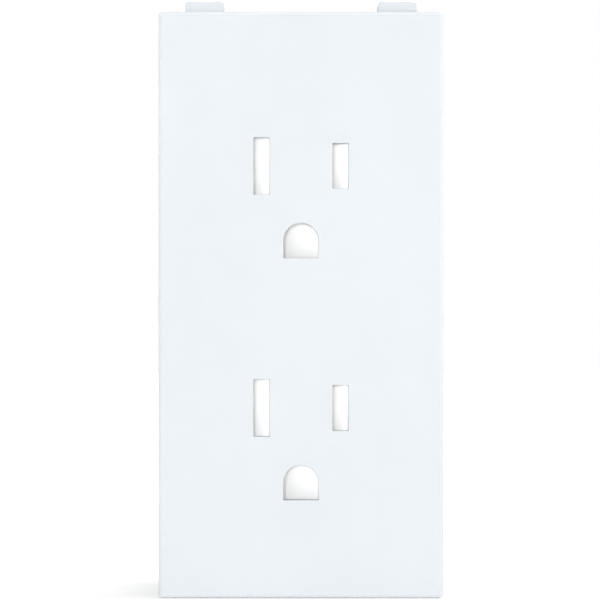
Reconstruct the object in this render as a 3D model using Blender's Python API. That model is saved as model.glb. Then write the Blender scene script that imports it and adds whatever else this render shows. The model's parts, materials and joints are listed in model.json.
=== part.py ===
"""A duplex wall outlet with a clip-on cover, as separate solids.

Front faces -Y, up is +Z, and the wall's surface is the plane y = 0. The origin is midway between the
two mounting screws. Sizes are in millimetres, and each solid is scaled to metres as it is finished.
"""

import math

import bmesh
import bpy
from mathutils import Vector

MM = 0.001
GAP = 0.3  # between pieces that touch
THIN_GAP = 0.15  # round a shank in its hole

# The cover: a flat face with a rim behind it, and two hooks whose tops show as tabs.
COVER_WIDTH = 45.8
COVER_HEIGHT = 94.2
COVER_FRONT = -7.0
COVER_INSIDE = -5.5
COVER_BACK = -1.6
COVER_RIM = 1.3
COVER_INNER_TOP = COVER_HEIGHT / 2 - COVER_RIM
COVER_CORNER = 0.7
COVER_EDGE = 0.6
COVER_STEPS = 6
TAB_OFFSET = 15.55
TAB_WIDTH = 6.2
TAB_RISE = 1.75
TAB_CORNER = 0.5
TAB_ROOT = 0.7
HOOK_FRONT = -5.2
HOOK_BACK = -0.1
HOOK_LIP = 1.2
HOOK_REACH = 1.4
NOTCH_FRONT = -3.2
BUMP = (-2.9, -2.1)
BUMP_RISE = 0.45

# The two sockets, from the line through each one's blade slots.
SOCKETS = {"upper": 22.35, "lower": -16.55}
BLADE_OFFSET = 6.35
SLOT_WIDTH = 2.55
SLOT_HEIGHTS = {"neutral": 9.2, "hot": 7.3}
GROUND_DROP = 12.0
GROUND_RADIUS = 2.83
GROUND_STEPS = 20
HOUSING_MARGIN = 0.2  # the housing's openings are this much wider all round
SIDES = {"neutral": -1, "hot": 1}

# The moulded body, in a front half and a rear half.
BODY_SIDE = 17.4
BODY_TOP = 29.9
BODY_BOTTOM = -34.4
BODY_WALL = 1.5
BODY_CORNER = 1.2
BODY_EDGE = 0.4
HOUSING_FACE = COVER_INSIDE + GAP
HOUSING_INSIDE = HOUSING_FACE + 1.0
PARTING_FRONT = 2.2
PARTING_REAR = PARTING_FRONT + GAP
BODY_BACK = 20.9
BACK_WALL = 1.6
BOSS_RADIUS = 2.5
BOSS_HOLE = 1.65
BOSS_X = 14.4
BOSS_HEIGHTS = {"top": 27.3, "bottom": -31.8}

# Inside the rear half: a walled cell round each ground contact, and walls round each terminal.
CELL_SIDE = 5.7
CELL_HALF = 5.5
CELL_WALL = 1.1
BARRIER = (8.0, 8.8)
BARRIER_HALF = 5.1
SHELF = (9.5, 12.5)
SHELF_HALF = 1.0
RIB = (8.4, 14.0)
RIB_DROP = 4.7
RIB_HALF = 0.4
WINDOW = (6.0, 15.0)
WINDOW_HALF = 4.6
LINK_WINDOW = (7.5, 13.5)
LINK_WINDOW_HALF = 3.6

# The steel strap that wraps round the back of the body.
STEEL = 1.3
BAND_SIDE = 8.0
BAND_FRONT = BODY_BACK + GAP
BEND = 1.3
EAR_SIDE = 19.2
EAR_STEP = 12.0
EAR_END = 46.4
EAR_SHOULDERS = {"top": 43.9, "bottom": 44.9}
STRAP_CLEARANCE = 0.4
LUG_SIDE = 2.75
JOGGLE_FRONT = -3.0
JOGGLE_TOP = 46.5
CATCH_FRONT = -4.0
CATCH_DEPTH = 0.7
CATCH_CLEARANCE = 0.1
SCREW_SPACING = 83.3
SCREW_SLOT = (1.3, 2.1)  # half the straight part, and the radius of the ends
RIVET_HOLE = 1.6

# Terminals: a screw with its head outside draws a plate against the contact strip from inside.
TERMINAL_Y = 10.5
TERMINAL_DROP = 8.6
STRIP_SIDE = 14.4
STRIP_THICK = 1.0
STRIP_FRONT = 6.0
STRIP_BACK = 14.0
WEB_BACK = 13.4
WEB_THICK = 0.8
LINK_HALF = 3.0
LINK_WAIST = (8.6, 12.4)
LEAF_THICK = 0.6
LEAF_BEND = 1.2
LEAF_HALF = 2.9
LEAF_PATH = [(1.55, 13.2), (1.45, 8.5), (0.95, 5.4), (1.85, 2.9)]  # off the blade's middle, and y
GROUND_BASE = 0.9
FINGER_PATH = [(3.35, BODY_BACK - 0.2), (3.2, 9.0), (2.55, 6.4), (3.4, 4.0)]
PLATE_THICK = 1.2
PLATE_SIDE = 10.7
PLATE_SIZE = (7.0, 7.6)
SHANK_RADIUS = 2.0
HEAD_RADIUS = 4.0
HEAD_HEIGHT = 2.6
SHANK_LENGTH = 6.3
WIRE_HOLE = 1.25
WIRE_OFFSET = 3.1

# The ground terminal stands on a tab beside the strap's top end.
GROUND_TAB_SIDE = 14.6
GROUND_SCREW_Y = 6.0
GROUND_SCREW_Z = 34.9
GROUND_HEAD_RADIUS = 3.6
GROUND_TAB_Y = (2.2, 10.5)
GROUND_TAB_TOP = 38.4
GROUND_PLATE_SIZE = (7.0, 5.9)
GROUND_PLATE_GAP = 2.5

# Safety shutters and the trays that carry them.
SHUTTER_FRONT = HOUSING_INSIDE + 0.25
BLADE_SHUTTER_BACK = -1.35
GROUND_SHUTTER_BACK = 0.1
SHUTTER_TALL = 5.3
PAD_SIDE = 1.55
WINDOW_WIDE = 2.9
RAMP_DEPTH = 1.2
RAMP_WIDE = 2.4
GROUND_RAMP_EDGE = 2.0
GROUND_SHUTTER_SIDE = 3.0
GROUND_SHUTTER_TALL = 3.3
TRAY_FRONT = 0.5
TRAY_BACK = 1.7
TRAY_SIDE = 11.6
TRAY_WING = 14.6
LEDGE_SIDE = 12.9
LEDGE_DROP = 10.5
LEDGE_RISE = 1.9
TRAY_STEP = -1.05
SPRING_POCKET = (-4.5, 1.2)
SPRING_POST = (0.2, 1.0)
GROUND_SPRING_STOP = 11.6
STOP_THICK = 0.8
STOP_HALF = 1.4
TRAY_OPENING = (1.5, 4.6)
PIN_CLEARANCE = 3.0

# The screws that hold the outlet to the box, and the body together.
MOUNT_HEAD = 3.5
MOUNT_SHANK = 1.7
MOUNT_LENGTH = 18.4
RETAINER_HALF = 4.5
RETAINER_Y = (2.5, 3.3)
RETAINER_HOLE = 1.85
HOUSING_SCREW_HEAD = (2.4, 1.6)  # radius and height
HOUSING_SCREW_SHANK = 1.45

WHITE_COVER = ("cover_plastic", (0.80, 0.84, 0.88), 0.38, 0.0)
WHITE_HOUSING = ("housing_plastic", (0.86, 0.87, 0.87), 0.5, 0.0)
GREY_HOUSING = ("rear_plastic", (0.62, 0.64, 0.66), 0.55, 0.0)
WHITE_SHUTTER = ("shutter_plastic", (0.95, 0.95, 0.94), 0.35, 0.0)
TRAY_PLASTIC = ("tray_plastic", (0.90, 0.90, 0.88), 0.5, 0.0)
ZINC = ("zinc_plated_steel", (0.72, 0.73, 0.75), 0.32, 1.0)
BRASS = ("brass", (0.80, 0.61, 0.28), 0.28, 1.0)
NICKEL = ("nickel_plated_brass", (0.78, 0.77, 0.74), 0.25, 1.0)
GREEN = ("green_screw", (0.06, 0.36, 0.16), 0.35, 0.6)
SPRING_STEEL = ("spring_steel", (0.62, 0.63, 0.65), 0.3, 1.0)
FIBRE = ("retainer_fibre", (0.55, 0.24, 0.18), 0.8, 0.0)


# Outlines


def arc(centre, radius, start, end, steps):
    """Points along an arc, with its angles in degrees."""
    angles = [math.radians(start + (end - start) * i / steps) for i in range(steps + 1)]
    return [(centre[0] + radius * math.cos(a), centre[1] + radius * math.sin(a)) for a in angles]


def rounded(points, radius, steps=3, closed=True):
    """The outline with each corner rounded. Radius is one number, or one for each point."""
    count = len(points)
    radii = radius if isinstance(radius, list) else [radius] * count
    made = []
    for i, point in enumerate(points):
        if not closed and i in (0, count - 1):
            made.append(point)
            continue
        here = Vector(point)
        before = (Vector(points[i - 1]) - here).normalized()
        after = (Vector(points[(i + 1) % count]) - here).normalized()
        half = before.angle(after) / 2
        if radii[i] <= 0 or half > math.radians(89):
            made.append(point)
            continue
        setback = radii[i] / math.tan(half)
        centre = here + (before + after).normalized() * (radii[i] / math.sin(half))
        first = here + before * setback - centre
        last = here + after * setback - centre
        start = math.atan2(first.y, first.x)
        sweep = math.atan2(first.x * last.y - first.y * last.x, first.dot(last))
        made += arc(centre, radii[i], math.degrees(start), math.degrees(start + sweep), steps)
    return made


def rectangle(x, z, radius=0.0, steps=3):
    """A rectangle between two bounds each way, with round corners."""
    points = [(x[0], z[0]), (x[1], z[0]), (x[1], z[1]), (x[0], z[1])]
    return rounded(points, radius, steps) if radius else points


def ribbon(path, thick, bend=0.0, steps=3):
    """The closed outline of a bent sheet: path is its middle line, and bend the middle line's radius."""
    points = [Vector(p) for p in path]
    edges = []
    for side in (1, -1):
        line, radii = [], []
        for i, point in enumerate(points):
            into = (point - points[i - 1]).normalized() if i else None
            out = (points[i + 1] - point).normalized() if i + 1 < len(points) else None
            into, out = into or out, out or into
            miter = (Vector((-into.y, into.x)) + Vector((-out.y, out.x))).normalized()
            reach = thick / 2 / miter.dot(Vector((-into.y, into.x)))
            turn = into.x * out.y - into.y * out.x
            line.append(tuple(point + miter * reach * side))
            radii.append(max(0.0, bend - side * math.copysign(thick / 2, turn)) if bend else 0.0)
        edges.append(rounded(line, radii, steps, closed=False))
    return edges[0] + edges[1][::-1]


def ground_outline(blade_height, grow=0.0):
    """A ground opening: round at the top and flat at the bottom."""
    middle = blade_height - GROUND_DROP
    radius = GROUND_RADIUS + grow
    bottom = middle - radius
    return [*arc((0, middle), radius, 0, 180, GROUND_STEPS), (-radius, bottom), (radius, bottom)]


def slot_outline(side, blade_height, grow=0.0):
    """A blade slot. The neutral one is the taller."""
    middle = SIDES[side] * BLADE_OFFSET
    wide = SLOT_WIDTH / 2 + grow
    tall = SLOT_HEIGHTS[side] / 2 + grow
    return rectangle((middle - wide, middle + wide), (blade_height - tall, blade_height + tall))


# Solids


def solid(mesh):
    """An unnamed object from a bmesh, with its faces pointing out."""
    bmesh.ops.recalc_face_normals(mesh, faces=mesh.faces)
    data = bpy.data.meshes.new("solid")
    mesh.to_mesh(data)
    mesh.free()
    made = bpy.data.objects.new("solid", data)
    bpy.context.scene.collection.objects.link(made)
    return made


def prism(outline, along, low, high, bevel=0.0, segments=3):
    """An outline in the other two axes, extruded along one. Bevel rounds the edges at its low end."""
    place = {
        "X": lambda a, b, c: (c, a, b),
        "Y": lambda a, b, c: (a, c, b),
        "Z": lambda a, b, c: (a, b, c),
    }[along]
    outline = [(round(a, 4), round(b, 4)) for a, b in outline]
    mesh = bmesh.new()
    start = [mesh.verts.new(place(a, b, low)) for a, b in outline]
    end = [mesh.verts.new(place(a, b, high)) for a, b in outline]
    mesh.faces.new(start)
    mesh.faces.new(end[::-1])
    for i in range(len(outline)):
        mesh.faces.new((start[i - 1], start[i], end[i], end[i - 1]))
    if bevel:
        rim = [edge for edge in mesh.edges if edge.verts[0] in start and edge.verts[1] in start]
        bmesh.ops.recalc_face_normals(mesh, faces=mesh.faces)
        bmesh.ops.bevel(mesh, geom=rim, offset=bevel, segments=segments, profile=0.5, affect="EDGES")
    return solid(mesh)


def box(x, y, z):
    """A block between two bounds on each axis."""
    x, y, z = sorted(x), sorted(y), sorted(z)
    return prism(rectangle(x, z), "Y", y[0], y[1])


def turned(along, centre, profile, sides=20):
    """A round solid on an axis. The profile lists (place along the axis, radius); centre is the other two."""
    index = "XYZ".index(along)
    mesh = bmesh.new()
    rings = []
    for place, radius in profile:
        ring = []
        for a, b in arc(centre, radius, 0, 360 - 360 / sides, sides - 1):
            point = [a, b]
            point.insert(index, place)
            ring.append(mesh.verts.new(point))
        rings.append(ring)
    mesh.faces.new(rings[0])
    mesh.faces.new(rings[-1][::-1])
    for first, second in zip(rings, rings[1:]):
        for i in range(sides):
            mesh.faces.new((first[i - 1], first[i], second[i], second[i - 1]))
    return solid(mesh)


def combine(base, tool, operation):
    """Applies one Boolean and removes the tool."""
    modifier = base.modifiers.new(operation, "BOOLEAN")
    modifier.operation = operation
    modifier.object = tool
    graph = bpy.context.evaluated_depsgraph_get()
    base.data = bpy.data.meshes.new_from_object(base.evaluated_get(graph))
    base.modifiers.clear()
    bpy.data.objects.remove(tool)
    return base


def fuse(base, *tools):
    for tool in tools:
        combine(base, tool, "UNION")
    return base


def carve(base, *tools):
    for tool in tools:
        combine(base, tool, "DIFFERENCE")
    return base


def material(finish):
    name, colour, roughness, metallic = finish
    made = bpy.data.materials.get(name)
    if made is None:
        made = bpy.data.materials.new(name)
        made.use_nodes = True
        shader = made.node_tree.nodes["Principled BSDF"]
        shader.inputs["Base Color"].default_value = (*colour, 1.0)
        shader.inputs["Roughness"].default_value = roughness
        shader.inputs["Metallic"].default_value = metallic
    return made


def name_part(part, name, finish, origin=(0, 0, 0)):
    """Scales a solid to metres, gives it its name and material, and puts its origin on its joint."""
    for vertex in part.data.vertices:
        vertex.co = (vertex.co - Vector(origin)) * MM
    part.location = Vector(origin) * MM
    part.name = name
    part.data.name = name
    part.data.materials.clear()
    part.data.materials.append(material(finish))
    part.data.shade_smooth()
    part.data.set_sharp_from_angle(angle=math.radians(35))
    return part


# Pieces


def front_cover():
    half_wide, half_tall = COVER_WIDTH / 2, COVER_HEIGHT / 2
    shell = prism(
        rectangle((-half_wide, half_wide), (-half_tall, half_tall), COVER_CORNER, COVER_STEPS),
        "Y", COVER_FRONT, COVER_BACK, COVER_EDGE, COVER_STEPS,
    )
    inner_wide, inner_tall = half_wide - COVER_RIM, COVER_INNER_TOP
    carve(shell, box((-inner_wide, inner_wide), (COVER_INSIDE, 1), (-inner_tall, inner_tall)))
    for height in SOCKETS.values():
        outlines = [slot_outline(side, height) for side in SIDES] + [ground_outline(height)]
        for outline in outlines:
            carve(shell, prism(outline, "Y", COVER_FRONT - 1, COVER_INSIDE + 1))
    for middle in (-TAB_OFFSET, TAB_OFFSET):
        left, right = middle - TAB_WIDTH / 2, middle + TAB_WIDTH / 2
        carve(shell, box((left - GAP, right + GAP), (NOTCH_FRONT, 1), (inner_tall - 1, half_tall + 1)))
        top = half_tall + TAB_RISE
        corners = [(left, half_tall), (right, half_tall), (right, top), (left, top)]
        tab = prism(rounded(corners, [0.0, 0.0, TAB_CORNER, TAB_CORNER]), "Y", HOOK_FRONT, HOOK_BACK)
        above = half_tall + TAB_ROOT
        root = box((left, right), (HOOK_FRONT, NOTCH_FRONT - 0.1), (half_tall - TAB_ROOT, above))
        lip = box((left, right), (HOOK_BACK - HOOK_LIP, HOOK_BACK), (half_tall - HOOK_REACH, above))
        bump = box((middle - LUG_SIDE, middle + LUG_SIDE), BUMP,
                   (-inner_tall - BUMP_RISE, -inner_tall + BUMP_RISE))
        fuse(shell, tab, root, lip, bump)
    hinge = (0, (JOGGLE_FRONT + JOGGLE_FRONT + STEEL) / 2, JOGGLE_TOP)
    return name_part(shell, "front_cover", WHITE_COVER, hinge)


def body_outline():
    return rectangle((-BODY_SIDE, BODY_SIDE), (BODY_BOTTOM, BODY_TOP), BODY_CORNER)


def body_inside(depth):
    inset = BODY_WALL
    return box((-BODY_SIDE + inset, BODY_SIDE - inset), depth, (BODY_BOTTOM + inset, BODY_TOP - inset))


def bosses(low, high, radius):
    """One post at each corner of the body, for the housing screws."""
    for side in (-1, 1):
        for height in BOSS_HEIGHTS.values():
            yield turned("Y", (side * BOSS_X, height), [(low, radius), (high, radius)], 16)


def front_housing():
    shell = prism(body_outline(), "Y", HOUSING_FACE, PARTING_FRONT, BODY_EDGE)
    carve(shell, body_inside((HOUSING_INSIDE, PARTING_FRONT + 1)))
    fuse(shell, *bosses(HOUSING_INSIDE - 0.5, PARTING_FRONT, BOSS_RADIUS))
    carve(shell, *bosses(HOUSING_INSIDE + 1.0, PARTING_FRONT + 1, BOSS_HOLE))
    for height in SOCKETS.values():
        for side in SIDES.values():
            ledge = (height - LEDGE_DROP, height + LEDGE_RISE)
            front = (HOUSING_INSIDE - 0.5, TRAY_FRONT - GAP)
            fuse(shell, box((LEDGE_SIDE * side, (BODY_SIDE - 1) * side), front, ledge))
        outlines = [slot_outline(side, height, HOUSING_MARGIN) for side in SIDES]
        for outline in [*outlines, ground_outline(height, HOUSING_MARGIN)]:
            carve(shell, prism(outline, "Y", HOUSING_FACE - 1, HOUSING_INSIDE + 0.5))
    return name_part(shell, "front_housing", WHITE_HOUSING)


def terminal_height(socket):
    return SOCKETS[socket] - TERMINAL_DROP


def through_side(side):
    """Bounds in x of a cut right through one side wall."""
    return (BODY_SIDE - BODY_WALL - 1) * side, (BODY_SIDE + 1) * side


def rear_housing():
    shell = prism(body_outline(), "Y", PARTING_REAR, BODY_BACK)
    floor = BODY_BACK - BACK_WALL
    carve(shell, body_inside((PARTING_REAR - 1, floor)))
    fuse(shell, *bosses(PARTING_REAR, BODY_BACK - 0.5, BOSS_RADIUS))
    carve(shell, *bosses(PARTING_REAR - 1, BODY_BACK + 1, BOSS_HOLE))
    cell_front = TRAY_BACK + GAP
    for socket, height in SOCKETS.items():
        ground = height - GROUND_DROP
        cell = (max(ground - CELL_HALF, BODY_BOTTOM + BODY_WALL + GAP), ground + CELL_HALF)
        fuse(shell, box((-CELL_SIDE, CELL_SIDE), (cell_front, floor + 0.5), cell))
        hollow, room = CELL_SIDE - CELL_WALL, CELL_HALF - 1.0
        carve(shell, box((-hollow, hollow), (cell_front - 1, BODY_BACK + 1), (ground - room, ground + room)))
        terminal = terminal_height(socket)
        for side in SIDES.values():
            wall = box([x * side for x in BARRIER], (cell_front, floor + 0.5),
                       (terminal - BARRIER_HALF, terminal + BARRIER_HALF))
            shelf = box([x * side for x in SHELF], (WEB_BACK + GAP, floor + 0.5),
                        (height - SHELF_HALF, height + SHELF_HALF))
            ribs = [
                box([x * side for x in RIB], (PARTING_REAR, floor + 0.5), (edge - RIB_HALF, edge + RIB_HALF))
                for edge in (terminal - RIB_DROP, terminal + RIB_DROP)
            ]
            fuse(shell, shelf, wall, *ribs)
            window = box(through_side(side), WINDOW, (terminal - WINDOW_HALF, terminal + WINDOW_HALF))
            wire = (PLATE_SIDE + PLATE_THICK + STRIP_SIDE) / 2 * side
            holes = [
                turned("Y", (wire, terminal + step), [(floor - 1, WIRE_HOLE), (BODY_BACK + 1, WIRE_HOLE)], 16)
                for step in (-WIRE_OFFSET, WIRE_OFFSET)
            ]
            carve(shell, window, *holes)
    lower_cell, upper_cell = (SOCKETS[socket] - GROUND_DROP for socket in ("lower", "upper"))
    between = (lower_cell + CELL_HALF - CELL_WALL / 2, upper_cell - CELL_HALF + CELL_WALL / 2)
    fuse(shell, box((-CELL_WALL / 2, CELL_WALL / 2), (cell_front, floor + 0.5), between))
    middle = sum(SOCKETS.values()) / 2
    for side in SIDES.values():
        tall = (middle - LINK_WINDOW_HALF, middle + LINK_WINDOW_HALF)
        carve(shell, box(through_side(side), LINK_WINDOW, tall))
    return name_part(shell, "rear_housing", GREY_HOUSING)


def mounting_strap():
    half = STEEL / 2
    top = BODY_TOP + STRAP_CLEARANCE + half
    bottom = BODY_BOTTOM - STRAP_CLEARANCE - half
    back = BAND_FRONT + half
    path = [(-half, 40.0), (-half, top), (back, top), (back, bottom), (-half, bottom), (-half, -40.0)]
    strap = prism(ribbon(path, STEEL, BEND), "X", -BAND_SIDE, BAND_SIDE)
    for end, sign in (("top", 1), ("bottom", -1)):
        start = (top if sign > 0 else -bottom) + half
        shoulder = EAR_SHOULDERS[end]
        outline = [
            (-EAR_SIDE, start), (EAR_SIDE, start), (EAR_SIDE, shoulder), (EAR_STEP, shoulder),
            (EAR_STEP, EAR_END), (-EAR_STEP, EAR_END), (-EAR_STEP, shoulder), (-EAR_SIDE, shoulder),
        ]
        radii = [0.8, 0.8, 0.8, 0.0, 1.5, 1.5, 0.0, 0.8]
        ear = [(x, z * sign) for x, z in rounded(outline, radii)]
        fuse(strap, prism(ear, "Y", -STEEL, 0))
        screw = SCREW_SPACING / 2 * sign
        run, radius = SCREW_SLOT
        slot = [*arc((run, screw), radius, -90, 90, 8), *arc((-run, screw), radius, 90, 270, 8)]
        carve(strap, prism(slot, "Y", -STEEL - 1, 1))
        for middle in (-TAB_OFFSET, TAB_OFFSET):
            wide = (middle - LUG_SIDE, middle + LUG_SIDE)
            if end == "top":
                fuse(strap, box(wide, (JOGGLE_FRONT, 0), (shoulder - STEEL, shoulder)))
                fuse(strap, box(wide, (JOGGLE_FRONT, JOGGLE_FRONT + STEEL), (shoulder - STEEL, JOGGLE_TOP)))
            else:
                reach = CATCH_CLEARANCE + BUMP_RISE - COVER_INNER_TOP
                fuse(strap, box(wide, (CATCH_FRONT, 0), (-shoulder, -shoulder + STEEL)))
                fuse(strap, box(wide, (CATCH_FRONT, CATCH_FRONT + CATCH_DEPTH), (reach, -shoulder + STEEL)))
    for height in SOCKETS.values():
        hole = [(BAND_FRONT - 1, RIVET_HOLE), (BAND_FRONT + STEEL + 1, RIVET_HOLE)]
        carve(strap, turned("Y", (0, height - GROUND_DROP), hole, 16))
    outer, inner = -GROUND_TAB_SIDE, -GROUND_TAB_SIDE + STEEL
    front, rear = GROUND_TAB_Y
    shelf = box((outer, -BAND_SIDE + 1), GROUND_TAB_Y, (top - half, top + half))
    corners = [(front, top - half), (rear, top - half), (rear, GROUND_TAB_TOP), (front, GROUND_TAB_TOP)]
    tab = prism(rounded(corners, [0.0, 0.0, 2.0, 2.0]), "X", outer, inner)
    fuse(strap, shelf, tab)
    hole = [(outer - 1, SHANK_RADIUS + THIN_GAP), (inner + 1, SHANK_RADIUS + THIN_GAP)]
    carve(strap, turned("X", (GROUND_SCREW_Y, GROUND_SCREW_Z), hole, 16))
    return name_part(strap, "mounting_strap", ZINC)


def contact_strip(side):
    """One strip for both sockets on its side, with two gripping contacts, two terminals and a link."""
    sign = SIDES[side]
    middle = sum(SOCKETS.values()) / 2
    outer = STRIP_SIDE + STRIP_THICK
    low = terminal_height("lower") - 3.6
    high = SOCKETS["upper"] + 2.1
    strip = box((STRIP_SIDE * sign, outer * sign), (STRIP_FRONT, STRIP_BACK), (low, high))
    across = ((STRIP_SIDE - 1) * sign, (outer + 1) * sign)
    for y in ((STRIP_FRONT - 1, LINK_WAIST[0]), (LINK_WAIST[1], STRIP_BACK + 1)):
        carve(strip, box(across, y, (middle - LINK_HALF, middle + LINK_HALF)))
    fin = box(((outer - 0.5) * sign, (outer + 1.5) * sign), (9.3, 11.7), (middle - 1.0, middle + 1.0))
    fuse(strip, fin)
    for socket, height in SOCKETS.items():
        web = box(((BLADE_OFFSET - 1.85) * sign, (STRIP_SIDE + 0.5) * sign), (WEB_BACK - WEB_THICK, WEB_BACK),
                  (height - 2.1, height + 2.1))
        leaves = []
        for edge in (-1, 1):
            path = [(BLADE_OFFSET * sign + x * edge, y) for x, y in LEAF_PATH]
            outline = ribbon(path, LEAF_THICK, LEAF_BEND)
            leaves.append(prism(outline, "Z", height - LEAF_HALF, height + LEAF_HALF))
        fuse(strip, web, *leaves)
        radius = SHANK_RADIUS + 0.2
        hole = [(x, radius) for x in sorted(across)]
        carve(strip, turned("X", (TERMINAL_Y, terminal_height(socket)), hole, 16))
    return name_part(strip, f"{side}_contact_strip", BRASS if side == "hot" else NICKEL)


def ground_contact(socket):
    """Three fingers round the ground pin, on a base that is riveted to the strap."""
    middle = SOCKETS[socket] - GROUND_DROP
    base = box((-4.2, 4.2), (BODY_BACK - GROUND_BASE, BODY_BACK), (middle - 4.1, middle + 4.1))
    for edge in (-1, 1):
        finger = ribbon([(x * edge, y) for x, y in FINGER_PATH], LEAF_THICK, LEAF_BEND)
        fuse(base, prism(finger, "Z", middle - 2.2, middle + 2.2))
    lower = ribbon([(y, middle - x) for x, y in FINGER_PATH], LEAF_THICK, LEAF_BEND)
    fuse(base, prism(lower, "X", -1.6, 1.6))
    carve(base, turned("Y", (0, middle), [(BODY_BACK - 2, RIVET_HOLE), (BODY_BACK + 1, RIVET_HOLE)], 16))
    return name_part(base, f"ground_contact_{socket}", BRASS)


def ground_rivet(socket):
    middle = SOCKETS[socket] - GROUND_DROP
    shank = RIVET_HOLE - THIN_GAP
    inside = BODY_BACK - GROUND_BASE - GAP
    outside = BAND_FRONT + STEEL + GAP
    profile = [(inside - 0.8, 1.7), (inside - 0.5, 2.3), (inside, 2.3), (inside, shank), (outside, shank),
               (outside, 2.6), (outside + 0.5, 2.4), (outside + 1.0, 1.4)]
    return name_part(turned("Y", (0, middle), profile, 16), f"ground_rivet_{socket}", ZINC)


def cross_recess(along, centre, face, depth, radius, wide=0.9):
    """The four arms of a screw's drive, cut into a head whose face looks away from +depth."""
    a, b = centre
    ends = sorted((face - depth * 2, face + depth))
    long_a = rectangle((a - radius, a + radius), (b - wide / 2, b + wide / 2))
    long_b = rectangle((a - wide / 2, a + wide / 2), (b - radius, b + radius))
    return [prism(outline, along, *ends) for outline in (long_a, long_b)]


def terminal_screw(name, side, y, height, under_head, radius, finish):
    """Its head is outside at the side given by the sign, and its shank points to the middle."""
    tip = under_head - SHANK_LENGTH
    face = under_head + HEAD_HEIGHT
    profile = [(tip, 1.5), (tip + 0.6, SHANK_RADIUS), (under_head, SHANK_RADIUS), (under_head, radius),
               (face - 0.8, radius), (face - 0.2, radius * 0.85), (face, radius * 0.6)]
    if side < 0:
        profile = [(-place, size) for place, size in profile][::-1]
    screw = turned("X", (y, height), profile)
    carve(screw, *cross_recess("X", (y, height), face * side, -1.1 * side, radius * 0.62))
    return name_part(screw, name, finish, (under_head * side, y, height))


def clamp_plate(name, side, y, height, inner, size=PLATE_SIZE):
    """A pressure plate on a terminal screw, at its loosest, with its corners turned towards the strip."""
    half_y, half_z = size[0] / 2, size[1] / 2
    outline = rectangle((y - half_y, y + half_y), (height - half_z, height + half_z), 0.6, 2)
    ends = sorted((inner * side, (inner + PLATE_THICK) * side))
    plate = prism(outline, "X", *ends)
    radius = SHANK_RADIUS + THIN_GAP
    carve(plate, turned("X", (y, height), [(ends[0] - 1, radius), (ends[1] + 1, radius)], 16))
    return name_part(plate, name, ZINC, (inner * side, y, height))


def terminals():
    for side, sign in SIDES.items():
        finish = BRASS if side == "hot" else NICKEL
        for socket in SOCKETS:
            height = terminal_height(socket)
            under_head = STRIP_SIDE + STRIP_THICK + GAP
            name = f"{side}_screw_{socket}"
            terminal_screw(name, sign, TERMINAL_Y, height, under_head, HEAD_RADIUS, finish)
            clamp_plate(f"{side}_clamp_{socket}", sign, TERMINAL_Y, height, PLATE_SIDE)
    under_head = GROUND_TAB_SIDE + GAP
    terminal_screw("ground_screw", -1, GROUND_SCREW_Y, GROUND_SCREW_Z, under_head, GROUND_HEAD_RADIUS, GREEN)
    inner = GROUND_TAB_SIDE - STEEL - GROUND_PLATE_GAP - PLATE_THICK
    clamp_plate("ground_clamp", -1, GROUND_SCREW_Y, GROUND_SCREW_Z, inner, GROUND_PLATE_SIZE)


def mounting_screw(end, sign):
    """A 6-32 machine screw through an ear, and the fibre square that keeps it from falling out."""
    height = SCREW_SPACING / 2 * sign
    under_head = -STEEL - GAP
    tip = under_head + MOUNT_LENGTH
    profile = [(under_head - 2.2, 2.0), (under_head - 1.9, 2.9), (under_head - 1.1, MOUNT_HEAD),
               (under_head, MOUNT_HEAD), (under_head, MOUNT_SHANK), (tip - 0.8, MOUNT_SHANK), (tip, 1.2)]
    screw = turned("Y", (0, height), profile)
    carve(screw, box((-2.9, 2.9), (under_head - 3, under_head - 1.2), (height - 0.5, height + 0.5)))
    name_part(screw, f"mounting_screw_{end}", ZINC, (0, under_head, height))
    half, (front, back) = RETAINER_HALF, RETAINER_Y
    retainer = prism(rectangle((-half, half), (height - half, height + half), 0.8, 2), "Y", front, back)
    carve(retainer, turned("Y", (0, height), [(front - 1, RETAINER_HOLE), (back + 1, RETAINER_HOLE)], 16))
    name_part(retainer, f"screw_retainer_{end}", FIBRE, (0, front, height))


def housing_screws():
    """Four long screws hold the two halves of the body together from behind."""
    number = 0
    for end, height in BOSS_HEIGHTS.items():
        for side in (-1, 1):
            number += 1
            under_head = BODY_BACK + GAP
            radius, tall = HOUSING_SCREW_HEAD
            shank = HOUSING_SCREW_SHANK
            profile = [(HOUSING_INSIDE + 1.6, 0.8), (HOUSING_INSIDE + 2.6, shank), (under_head, shank),
                       (under_head, radius), (under_head + 1.0, radius), (under_head + tall, 1.6)]
            screw = turned("Y", (side * BOSS_X, height), profile, 16)
            recess = cross_recess("Y", (side * BOSS_X, height), under_head + tall, -0.9, 1.4, 0.6)
            carve(screw, *recess)
            name_part(screw, f"housing_screw_{number}", ZINC)


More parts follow.
